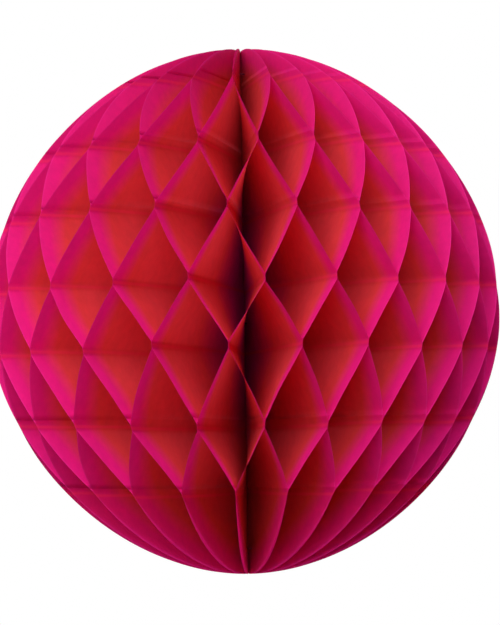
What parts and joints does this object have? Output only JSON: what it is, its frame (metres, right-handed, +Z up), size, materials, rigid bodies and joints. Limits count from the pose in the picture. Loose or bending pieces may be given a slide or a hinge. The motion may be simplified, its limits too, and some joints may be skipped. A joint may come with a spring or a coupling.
{
  "type": "paper honeycomb ball",
  "caption": "Fan-folding tissue honeycomb ball: half-disc sheets glued in alternating rows between two cover boards, opened full circle and held by adhesive dots.",
  "frame": {"origin": "centre of the opened ball, halfway up its spine", "axes": "+Z up the spine, front towards -Y, the seam where the two cover boards meet towards +Y"},
  "size_m": [0.1944, 0.1938, 0.1996],
  "materials": {
    "tissue": "matte, translucent",
    "card": "matte",
    "thread": "matte",
    "adhesive": "satin"
  },
  "bodies": {
    "board_left": {"cover_board_left": "card", "tissue_sheet_01": "tissue", "binding_thread_top": "thread", "binding_thread_middle": "thread", "binding_thread_bottom": "thread", "adhesive_dot_top": "adhesive", "adhesive_dot_middle": "adhesive", "adhesive_dot_bottom": "adhesive"},
    "fold_01": {"tissue_sheet_02": "tissue"},
    "fold_02": {"tissue_sheet_03": "tissue"},
    "fold_03": {"tissue_sheet_04": "tissue"},
    "fold_04": {"tissue_sheet_05": "tissue"},
    "fold_05": {"tissue_sheet_06": "tissue"},
    "fold_06": {"tissue_sheet_07": "tissue"},
    "fold_07": {"tissue_sheet_08": "tissue"},
    "fold_08": {"tissue_sheet_09": "tissue"},
    "fold_09": {"tissue_sheet_10": "tissue"},
    "fold_10": {"tissue_sheet_11": "tissue"},
    "fold_11": {"tissue_sheet_12": "tissue"},
    "fold_12": {"tissue_sheet_13": "tissue"},
    "fold_13": {"tissue_sheet_14": "tissue"},
    "fold_14": {"tissue_sheet_15": "tissue"},
    "fold_15": {"tissue_sheet_16": "tissue"},
    "fold_16": {"tissue_sheet_17": "tissue"},
    "fold_17": {"tissue_sheet_18": "tissue"},
    "fold_18": {"tissue_sheet_19": "tissue"},
    "fold_19": {"tissue_sheet_20": "tissue"},
    "fold_20": {"tissue_sheet_21": "tissue"},
    "fold_21": {"tissue_sheet_22": "tissue"},
    "fold_22": {"tissue_sheet_23": "tissue"},
    "fold_23": {"tissue_sheet_24": "tissue"},
    "fold_24": {"tissue_sheet_25": "tissue"},
    "fold_25": {"tissue_sheet_26": "tissue"},
    "fold_26": {"tissue_sheet_27": "tissue"},
    "fold_27": {"tissue_sheet_28": "tissue"},
    "fold_28": {"tissue_sheet_29": "tissue"},
    "fold_29": {"tissue_sheet_30": "tissue"},
    "fold_30": {"tissue_sheet_31": "tissue"},
    "fold_31": {"tissue_sheet_32": "tissue"},
    "fold_32": {"tissue_sheet_33": "tissue"},
    "fold_33": {"tissue_sheet_34": "tissue"},
    "fold_34": {"tissue_sheet_35": "tissue"},
    "fold_35": {"tissue_sheet_36": "tissue"},
    "fold_36": {"tissue_sheet_37": "tissue"},
    "fold_37": {"tissue_sheet_38": "tissue"},
    "fold_38": {"tissue_sheet_39": "tissue"},
    "fold_39": {"tissue_sheet_40": "tissue"},
    "fold_40": {"tissue_sheet_41": "tissue"},
    "fold_41": {"tissue_sheet_42": "tissue"},
    "fold_42": {"tissue_sheet_43": "tissue"},
    "fold_43": {"tissue_sheet_44": "tissue"},
    "fold_44": {"tissue_sheet_45": "tissue"},
    "fold_45": {"tissue_sheet_46": "tissue"},
    "fold_46": {"tissue_sheet_47": "tissue"},
    "fold_47": {"tissue_sheet_48": "tissue"},
    "board_right": {"cover_board_right": "card"}
  },
  "joints": [
    {"name": "hinge_01", "type": "hinge", "parent": "board_left", "child": "fold_01", "pos_m": [-0.00025, 0.00401, 0], "axis": [0, 0, -1], "range_deg": [0, 7.14], "deforming": ["tissue_sheet_01", "binding_thread_top", "binding_thread_middle", "binding_thread_bottom"]},
    {"name": "hinge_02", "type": "hinge", "parent": "board_left", "child": "fold_02", "pos_m": [-0.0003, 0.00243, 0], "axis": [0, 0, -1], "range_deg": [0, 14.09], "deforming": ["tissue_sheet_02"]},
    {"name": "hinge_03", "type": "hinge", "parent": "board_left", "child": "fold_03", "pos_m": [-0.00035, 0.0019, 0], "axis": [0, 0, -1], "range_deg": [0, 20.89], "deforming": ["tissue_sheet_03"]},
    {"name": "hinge_04", "type": "hinge", "parent": "board_left", "child": "fold_04", "pos_m": [-0.0004, 0.00163, 0], "axis": [0, 0, -1], "range_deg": [0, 27.55], "deforming": ["tissue_sheet_04"]},
    {"name": "hinge_05", "type": "hinge", "parent": "board_left", "child": "fold_05", "pos_m": [-0.00045, 0.00147, 0], "axis": [0, 0, -1], "range_deg": [0, 34.13], "deforming": ["tissue_sheet_05"]},
    {"name": "hinge_06", "type": "hinge", "parent": "board_left", "child": "fold_06", "pos_m": [-0.0005, 0.00135, 0], "axis": [0, 0, -1], "range_deg": [0, 40.69], "deforming": ["tissue_sheet_06"]},
    {"name": "hinge_07", "type": "hinge", "parent": "board_left", "child": "fold_07", "pos_m": [-0.00055, 0.00126, 0], "axis": [0, 0, -1], "range_deg": [0, 47.26], "deforming": ["tissue_sheet_07"]},
    {"name": "hinge_08", "type": "hinge", "parent": "board_left", "child": "fold_08", "pos_m": [-0.0006, 0.00118, 0], "axis": [0, 0, -1], "range_deg": [0, 53.92], "deforming": ["tissue_sheet_08"]},
    {"name": "hinge_09", "type": "hinge", "parent": "board_left", "child": "fold_09", "pos_m": [-0.00065, 0.00111, 0], "axis": [0, 0, -1], "range_deg": [0, 60.7], "deforming": ["tissue_sheet_09"]},
    {"name": "hinge_10", "type": "hinge", "parent": "board_left", "child": "fold_10", "pos_m": [-0.0007, 0.00104, 0], "axis": [0, 0, -1], "range_deg": [0, 67.66], "deforming": ["tissue_sheet_10"]},
    {"name": "hinge_11", "type": "hinge", "parent": "board_left", "child": "fold_11", "pos_m": [-0.00075, 0.00098, 0], "axis": [0, 0, -1], "range_deg": [0, 74.82], "deforming": ["tissue_sheet_11"]},
    {"name": "hinge_12", "type": "hinge", "parent": "board_left", "child": "fold_12", "pos_m": [-0.0008, 0.00092, 0], "axis": [0, 0, -1], "range_deg": [0, 82.2], "deforming": ["tissue_sheet_12"]},
    {"name": "hinge_13", "type": "hinge", "parent": "fold_12", "child": "fold_13", "pos_m": [-0.00075, 0.00005, 0], "axis": [0, 0, -1], "range_deg": [0, 7.62], "deforming": ["tissue_sheet_13"]},
    {"name": "hinge_14", "type": "hinge", "parent": "fold_12", "child": "fold_14", "pos_m": [-0.00074, 0, 0], "axis": [0, 0, -1], "range_deg": [0, 15.46], "deforming": ["tissue_sheet_14"]},
    {"name": "hinge_15", "type": "hinge", "parent": "fold_12", "child": "fold_15", "pos_m": [-0.00073, -0.00005, 0], "axis": [0, 0, -1], "range_deg": [0, 23.5], "deforming": ["tissue_sheet_15"]},
    {"name": "hinge_16", "type": "hinge", "parent": "fold_12", "child": "fold_16", "pos_m": [-0.00072, -0.0001, 0], "axis": [0, 0, -1], "range_deg": [0, 31.72], "deforming": ["tissue_sheet_16"]},
    {"name": "hinge_17", "type": "hinge", "parent": "fold_12", "child": "fold_17", "pos_m": [-0.00071, -0.00015, 0], "axis": [0, 0, -1], "range_deg": [0, 40.06], "deforming": ["tissue_sheet_17"]},
    {"name": "hinge_18", "type": "hinge", "parent": "fold_12", "child": "fold_18", "pos_m": [-0.0007, -0.00021, 0], "axis": [0, 0, -1], "range_deg": [0, 48.49], "deforming": ["tissue_sheet_18"]},
    {"name": "hinge_19", "type": "hinge", "parent": "fold_12", "child": "fold_19", "pos_m": [-0.00069, -0.00026, 0], "axis": [0, 0, -1], "range_deg": [0, 56.93], "deforming": ["tissue_sheet_19"]},
    {"name": "hinge_20", "type": "hinge", "parent": "fold_12", "child": "fold_20", "pos_m": [-0.00067, -0.00031, 0], "axis": [0, 0, -1], "range_deg": [0, 65.35], "deforming": ["tissue_sheet_20"]},
    {"name": "hinge_21", "type": "hinge", "parent": "fold_12", "child": "fold_21", "pos_m": [-0.00066, -0.00036, 0], "axis": [0, 0, -1], "range_deg": [0, 73.69], "deforming": ["tissue_sheet_21"]},
    {"name": "hinge_22", "type": "hinge", "parent": "fold_12", "child": "fold_22", "pos_m": [-0.00064, -0.00042, 0], "axis": [0, 0, -1], "range_deg": [0, 81.89], "deforming": ["tissue_sheet_22"]},
    {"name": "hinge_23", "type": "hinge", "parent": "fold_12", "child": "fold_23", "pos_m": [-0.00062, -0.00047, 0], "axis": [0, 0, -1], "range_deg": [0, 89.94], "deforming": ["tissue_sheet_23"]},
    {"name": "hinge_24", "type": "hinge", "parent": "fold_12", "child": "fold_24", "pos_m": [-0.0006, -0.00052, 0], "axis": [0, 0, -1], "range_deg": [0, 97.8], "deforming": ["tissue_sheet_24"]},
    {"name": "hinge_25", "type": "hinge", "parent": "fold_24", "child": "fold_25", "pos_m": [0.00005, -0.00075, 0], "axis": [0, 0, -1], "range_deg": [0, 7.66], "deforming": ["tissue_sheet_25"]},
    {"name": "hinge_26", "type": "hinge", "parent": "fold_24", "child": "fold_26", "pos_m": [0.0001, -0.00075, 0], "axis": [0, 0, -1], "range_deg": [0, 15.13], "deforming": ["tissue_sheet_26"]},
    {"name": "hinge_27", "type": "hinge", "parent": "fold_24", "child": "fold_27", "pos_m": [0.00015, -0.00076, 0], "axis": [0, 0, -1], "range_deg": [0, 22.42], "deforming": ["tissue_sheet_27"]},
    {"name": "hinge_28", "type": "hinge", "parent": "fold_24", "child": "fold_28", "pos_m": [0.0002, -0.00076, 0], "axis": [0, 0, -1], "range_deg": [0, 29.55], "deforming": ["tissue_sheet_28"]},
    {"name": "hinge_29", "type": "hinge", "parent": "fold_24", "child": "fold_29", "pos_m": [0.00025, -0.00076, 0], "axis": [0, 0, -1], "range_deg": [0, 36.57], "deforming": ["tissue_sheet_29"]},
    {"name": "hinge_30", "type": "hinge", "parent": "fold_24", "child": "fold_30", "pos_m": [0.0003, -0.00075, 0], "axis": [0, 0, -1], "range_deg": [0, 43.51], "deforming": ["tissue_sheet_30"]},
    {"name": "hinge_31", "type": "hinge", "parent": "fold_24", "child": "fold_31", "pos_m": [0.00035, -0.00074, 0], "axis": [0, 0, -1], "range_deg": [0, 50.44], "deforming": ["tissue_sheet_31"]},
    {"name": "hinge_32", "type": "hinge", "parent": "fold_24", "child": "fold_32", "pos_m": [0.0004, -0.00073, 0], "axis": [0, 0, -1], "range_deg": [0, 57.38], "deforming": ["tissue_sheet_32"]},
    {"name": "hinge_33", "type": "hinge", "parent": "fold_24", "child": "fold_33", "pos_m": [0.00045, -0.00071, 0], "axis": [0, 0, -1], "range_deg": [0, 64.4], "deforming": ["tissue_sheet_33"]},
    {"name": "hinge_34", "type": "hinge", "parent": "fold_24", "child": "fold_34", "pos_m": [0.0005, -0.00069, 0], "axis": [0, 0, -1], "range_deg": [0, 71.52], "deforming": ["tissue_sheet_34"]},
    {"name": "hinge_35", "type": "hinge", "parent": "fold_24", "child": "fold_35", "pos_m": [0.00055, -0.00067, 0], "axis": [0, 0, -1], "range_deg": [0, 78.78], "deforming": ["tissue_sheet_35"]},
    {"name": "hinge_36", "type": "hinge", "parent": "fold_24", "child": "fold_36", "pos_m": [0.0006, -0.00064, 0], "axis": [0, 0, -1], "range_deg": [0, 86.2], "deforming": ["tissue_sheet_36"]},
    {"name": "hinge_37", "type": "hinge", "parent": "fold_36", "child": "fold_37", "pos_m": [0.00076, 0, 0], "axis": [0, 0, -1], "range_deg": [0, 7.58], "deforming": ["tissue_sheet_37"]},
    {"name": "hinge_38", "type": "hinge", "parent": "fold_36", "child": "fold_38", "pos_m": [0.00075, 0.00005, 0], "axis": [0, 0, -1], "range_deg": [0, 15.32], "deforming": ["tissue_sheet_38"]},
    {"name": "hinge_39", "type": "hinge", "parent": "fold_36", "child": "fold_39", "pos_m": [0.00074, 0.0001, 0], "axis": [0, 0, -1], "range_deg": [0, 23.2], "deforming": ["tissue_sheet_39"]},
    {"name": "hinge_40", "type": "hinge", "parent": "fold_36", "child": "fold_40", "pos_m": [0.00073, 0.00015, 0], "axis": [0, 0, -1], "range_deg": [0, 31.18], "deforming": ["tissue_sheet_40"]},
    {"name": "hinge_41", "type": "hinge", "parent": "fold_36", "child": "fold_41", "pos_m": [0.00072, 0.0002, 0], "axis": [0, 0, -1], "range_deg": [0, 39.24], "deforming": ["tissue_sheet_41"]},
    {"name": "hinge_42", "type": "hinge", "parent": "fold_36", "child": "fold_42", "pos_m": [0.0007, 0.00025, 0], "axis": [0, 0, -1], "range_deg": [0, 47.31], "deforming": ["tissue_sheet_42"]},
    {"name": "hinge_43", "type": "hinge", "parent": "fold_36", "child": "fold_43", "pos_m": [0.00069, 0.00031, 0], "axis": [0, 0, -1], "range_deg": [0, 55.37], "deforming": ["tissue_sheet_43"]},
    {"name": "hinge_44", "type": "hinge", "parent": "fold_36", "child": "fold_44", "pos_m": [0.00067, 0.00036, 0], "axis": [0, 0, -1], "range_deg": [0, 63.35], "deforming": ["tissue_sheet_44"]},
    {"name": "hinge_45", "type": "hinge", "parent": "fold_36", "child": "fold_45", "pos_m": [0.00066, 0.00041, 0], "axis": [0, 0, -1], "range_deg": [0, 71.22], "deforming": ["tissue_sheet_45"]},
    {"name": "hinge_46", "type": "hinge", "parent": "fold_36", "child": "fold_46", "pos_m": [0.00064, 0.00046, 0], "axis": [0, 0, -1], "range_deg": [0, 78.93], "deforming": ["tissue_sheet_46"]},
    {"name": "hinge_47", "type": "hinge", "parent": "fold_36", "child": "fold_47", "pos_m": [0.00062, 0.00051, 0], "axis": [0, 0, -1], "range_deg": [0, 86.46], "deforming": ["tissue_sheet_47"]},
    {"name": "hinge_48", "type": "hinge", "parent": "fold_36", "child": "board_right", "pos_m": [0.0008, 0.00075, 0], "axis": [0, 0, -1], "range_deg": [0, 93.8], "deforming": ["tissue_sheet_48"]}
  ],
  "couplings": [
    {"joint": "hinge_01", "follows": "hinge_12", "ratio": 0.086863},
    {"joint": "hinge_02", "follows": "hinge_12", "ratio": 0.17146},
    {"joint": "hinge_03", "follows": "hinge_12", "ratio": 0.25408},
    {"joint": "hinge_04", "follows": "hinge_12", "ratio": 0.33516},
    {"joint": "hinge_05", "follows": "hinge_12", "ratio": 0.41524},
    {"joint": "hinge_06", "follows": "hinge_12", "ratio": 0.49496},
    {"joint": "hinge_07", "follows": "hinge_12", "ratio": 0.57497},
    {"joint": "hinge_08", "follows": "hinge_12", "ratio": 0.65594},
    {"joint": "hinge_09", "follows": "hinge_12", "ratio": 0.73846},
    {"joint": "hinge_10", "follows": "hinge_12", "ratio": 0.82307},
    {"joint": "hinge_11", "follows": "hinge_12", "ratio": 0.91017},
    {"joint": "hinge_13", "follows": "hinge_12", "ratio": 0.092651},
    {"joint": "hinge_14", "follows": "hinge_12", "ratio": 0.18804},
    {"joint": "hinge_15", "follows": "hinge_12", "ratio": 0.28591},
    {"joint": "hinge_16", "follows": "hinge_12", "ratio": 0.38586},
    {"joint": "hinge_17", "follows": "hinge_12", "ratio": 0.48738},
    {"joint": "hinge_18", "follows": "hinge_12", "ratio": 0.58985},
    {"joint": "hinge_19", "follows": "hinge_12", "ratio": 0.69262},
    {"joint": "hinge_20", "follows": "hinge_12", "ratio": 0.79501},
    {"joint": "hinge_21", "follows": "hinge_12", "ratio": 0.89641},
    {"joint": "hinge_22", "follows": "hinge_12", "ratio": 0.99628},
    {"joint": "hinge_23", "follows": "hinge_12", "ratio": 1.0942},
    {"joint": "hinge_24", "follows": "hinge_12", "ratio": 1.1898},
    {"joint": "hinge_25", "follows": "hinge_12", "ratio": 0.093215},
    {"joint": "hinge_26", "follows": "hinge_12", "ratio": 0.18405},
    {"joint": "hinge_27", "follows": "hinge_12", "ratio": 0.2727},
    {"joint": "hinge_28", "follows": "hinge_12", "ratio": 0.35949},
    {"joint": "hinge_29", "follows": "hinge_12", "ratio": 0.44487},
    {"joint": "hinge_30", "follows": "hinge_12", "ratio": 0.52937},
    {"joint": "hinge_31", "follows": "hinge_12", "ratio": 0.61358},
    {"joint": "hinge_32", "follows": "hinge_12", "ratio": 0.69808},
    {"joint": "hinge_33", "follows": "hinge_12", "ratio": 0.78342},
    {"joint": "hinge_34", "follows": "hinge_12", "ratio": 0.87008},
    {"joint": "hinge_35", "follows": "hinge_12", "ratio": 0.95841},
    {"joint": "hinge_36", "follows": "hinge_12", "ratio": 1.0487},
    {"joint": "hinge_37", "follows": "hinge_12", "ratio": 0.092235},
    {"joint": "hinge_38", "follows": "hinge_12", "ratio": 0.18638},
    {"joint": "hinge_39", "follows": "hinge_12", "ratio": 0.2822},
    {"joint": "hinge_40", "follows": "hinge_12", "ratio": 0.37934},
    {"joint": "hinge_41", "follows": "hinge_12", "ratio": 0.47733},
    {"joint": "hinge_42", "follows": "hinge_12", "ratio": 0.5756},
    {"joint": "hinge_43", "follows": "hinge_12", "ratio": 0.67358},
    {"joint": "hinge_44", "follows": "hinge_12", "ratio": 0.77068},
    {"joint": "hinge_45", "follows": "hinge_12", "ratio": 0.86637},
    {"joint": "hinge_46", "follows": "hinge_12", "ratio": 0.96021},
    {"joint": "hinge_47", "follows": "hinge_12", "ratio": 1.0519},
    {"joint": "hinge_48", "follows": "hinge_12", "ratio": 1.1411}
  ]
}
